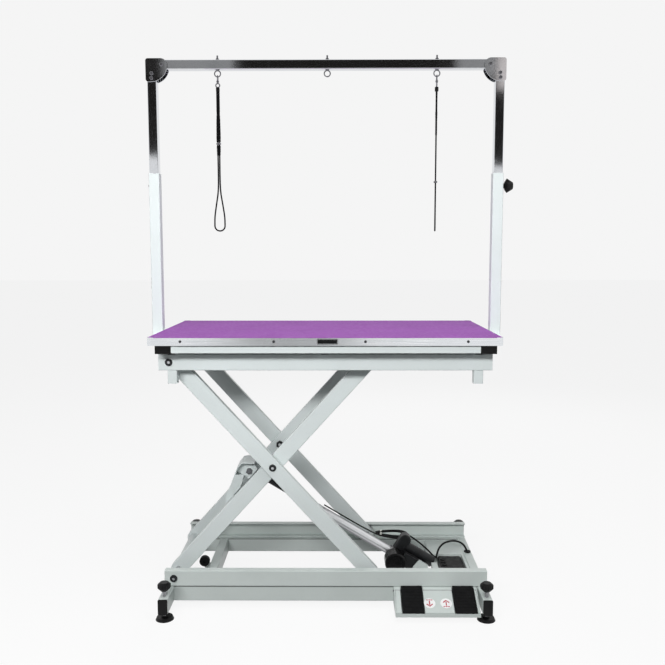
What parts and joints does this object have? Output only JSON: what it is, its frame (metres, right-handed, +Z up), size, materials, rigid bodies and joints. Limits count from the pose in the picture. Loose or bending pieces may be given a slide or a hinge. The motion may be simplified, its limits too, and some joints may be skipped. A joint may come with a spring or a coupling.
{
  "type": "grooming table",
  "caption": "Pet grooming table: scissor lift with a foot-pedal actuator, padded top, levelling feet and a chrome arch carrying two hanging nooses.",
  "frame": {"origin": "middle of the bounding box in X and Y, on the floor under the feet (cords left out)", "axes": "+Z up, +X to the user's right along the table top, +Y away from the user"},
  "size_m": [1.2336, 0.6336, 1.816],
  "materials": {
    "powder_coat": "satin",
    "purple_mat": "matt",
    "board_wood": "matt",
    "aluminium": "satin",
    "chrome": "polished",
    "zinc": "satin",
    "black_plastic": "matt",
    "rubber": "matt",
    "dark_cast": "satin",
    "black_cord": "matt"
  },
  "bodies": {
    "base": {"base_channels": "powder_coat", "base_rails": "powder_coat", "outriggers": "powder_coat", "outrigger_end_caps": "black_plastic", "inner_cross_tube": "powder_coat", "rubber_buffer": "rubber", "lower_pivot_shaft": "zinc", "cable_grommet": "rubber", "control_tray": "powder_coat", "control_box": "black_plastic", "actuator_mount": "powder_coat", "actuator_pin": "zinc", "pedal_tray": "powder_coat", "pedal_rod": "zinc", "cable_arc": "rubber", "cable_strand": "rubber"},
    "foot_front_left": {"foot_front_left": "black_plastic"},
    "foot_front_right": {"foot_front_right": "black_plastic"},
    "foot_rear_left": {"foot_rear_left": "black_plastic"},
    "foot_rear_right": {"foot_rear_right": "black_plastic"},
    "left_pedal": {"left_pedal": "rubber"},
    "right_pedal": {"right_pedal": "rubber"},
    "arm_b": {"arm_b_bars": "powder_coat", "arm_b_cross_tubes": "powder_coat", "lift_bracket": "powder_coat", "rod_bolts": "zinc"},
    "arm_a": {"arm_a_bars": "powder_coat", "arm_a_pivot_tube": "powder_coat", "centre_bolts": "zinc"},
    "upper_rollers": {"upper_rollers": "zinc"},
    "lower_roller_front": {"lower_roller_front": "zinc"},
    "lower_roller_rear": {"lower_roller_rear": "zinc"},
    "actuator": {"actuator_tube": "aluminium", "gear_housing": "dark_cast", "motor": "black_plastic", "tube_cable": "rubber", "cable_hank": "rubber"},
    "actuator_rod": {"actuator_rod": "dark_cast"},
    "upper_frame": {"upper_channels": "powder_coat", "upper_cross_tubes": "powder_coat", "clamp_rails": "powder_coat", "clamp_rail_caps": "black_plastic", "upper_pivot_shaft": "zinc", "table_board": "board_wood", "table_mat": "purple_mat", "table_trim": "aluminium", "trim_corner_caps": "aluminium", "small_screws": "zinc", "nameplate": "black_plastic", "arch_posts": "powder_coat"},
    "clamp_knob": {"clamp_knob": "black_plastic"},
    "arch": {"arch_uprights": "chrome", "arch_top_bar": "chrome", "corner_plates": "chrome", "corner_bolts": "zinc", "eye_bolts": "zinc"},
    "left_noose": {"left_noose_hook": "zinc", "left_noose_cord": "black_cord"},
    "right_noose": {"right_noose_hook": "zinc", "right_noose_cord": "black_cord"}
  },
  "joints": [
    {"name": "lift", "type": "hinge", "parent": "base", "child": "arm_b", "pos_m": [-0.512, 0.0152, 0.102], "axis": [0, -1, 0], "range_deg": [-42.15, 0]},
    {"name": "scissor", "type": "hinge", "parent": "arm_b", "child": "arm_a", "pos_m": [-0.189, 0.0152, 0.459], "axis": [0, -1, 0], "range_deg": [0, 84.31]},
    {"name": "table_level", "type": "hinge", "parent": "arm_a", "child": "upper_frame", "pos_m": [-0.512, 0.0152, 0.816], "axis": [0, -1, 0], "range_deg": [-42.16, 0]},
    {"name": "actuator_swing", "type": "hinge", "parent": "base", "child": "actuator", "pos_m": [0.303, 0.0152, 0.05], "axis": [0, -1, 0], "range_deg": [0, 15.67]},
    {"name": "actuator_stroke", "type": "slide", "parent": "actuator", "child": "actuator_rod", "axis": [-0.8571, 0, 0.5152], "range_m": [-0.2249, 0]},
    {"name": "upper_rollers_turn", "type": "hinge", "parent": "arm_b", "child": "upper_rollers", "pos_m": [0.134, 0.0152, 0.816], "axis": [0, 1, 0], "continuous": true},
    {"name": "lower_roller_front_turn", "type": "hinge", "parent": "arm_a", "child": "lower_roller_front", "pos_m": [0.134, -0.2008, 0.102], "axis": [0, 1, 0], "continuous": true},
    {"name": "lower_roller_rear_turn", "type": "hinge", "parent": "arm_a", "child": "lower_roller_rear", "pos_m": [0.134, 0.2312, 0.102], "axis": [0, 1, 0], "continuous": true},
    {"name": "arch_height", "type": "slide", "parent": "upper_frame", "child": "arch", "axis": [0, 0, 1], "range_m": [-0.29, 0.1]},
    {"name": "clamp_knob_turn", "type": "hinge", "parent": "upper_frame", "child": "clamp_knob", "pos_m": [0.585, 0.0152, 1.3865], "axis": [1, 0, 0], "continuous": true},
    {"name": "left_noose_swing", "type": "hinge", "parent": "arch", "child": "left_noose", "pos_m": [-0.377, 0.0152, 1.747], "axis": [1, 0, 0], "range_deg": [-40, 40]},
    {"name": "right_noose_swing", "type": "hinge", "parent": "arch", "child": "right_noose", "pos_m": [0.356, 0.0152, 1.747], "axis": [1, 0, 0], "range_deg": [-40, 40]},
    {"name": "left_pedal_press", "type": "hinge", "parent": "base", "child": "left_pedal", "pos_m": [0.264, -0.2278, 0.068], "axis": [1, 0, 0], "range_deg": [0, 4], "stiffness_Nm_per_rad": 20, "springref_deg": -5.73},
    {"name": "right_pedal_press", "type": "hinge", "parent": "base", "child": "right_pedal", "pos_m": [0.431, -0.2278, 0.068], "axis": [1, 0, 0], "range_deg": [0, 4], "stiffness_Nm_per_rad": 20, "springref_deg": -5.73},
    {"name": "foot_front_left_level", "type": "slide", "parent": "base", "child": "foot_front_left", "axis": [0, 0, 1], "range_m": [-0.012, 0.006]},
    {"name": "foot_front_right_level", "type": "slide", "parent": "base", "child": "foot_front_right", "axis": [0, 0, 1], "range_m": [-0.012, 0.006]},
    {"name": "foot_rear_left_level", "type": "slide", "parent": "base", "child": "foot_rear_left", "axis": [0, 0, 1], "range_m": [-0.012, 0.006]},
    {"name": "foot_rear_right_level", "type": "slide", "parent": "base", "child": "foot_rear_right", "axis": [0, 0, 1], "range_m": [-0.012, 0.006]}
  ],
  "couplings": [
    {"joint": "scissor", "follows": "lift", "ratio": -2},
    {"joint": "table_level", "follows": "lift", "ratio": 1},
    {"joint": "actuator_swing", "follows": "lift", "ratio": -0.37055},
    {"joint": "actuator_stroke", "follows": "lift", "m_per_rad": 0.3051}
  ]
}
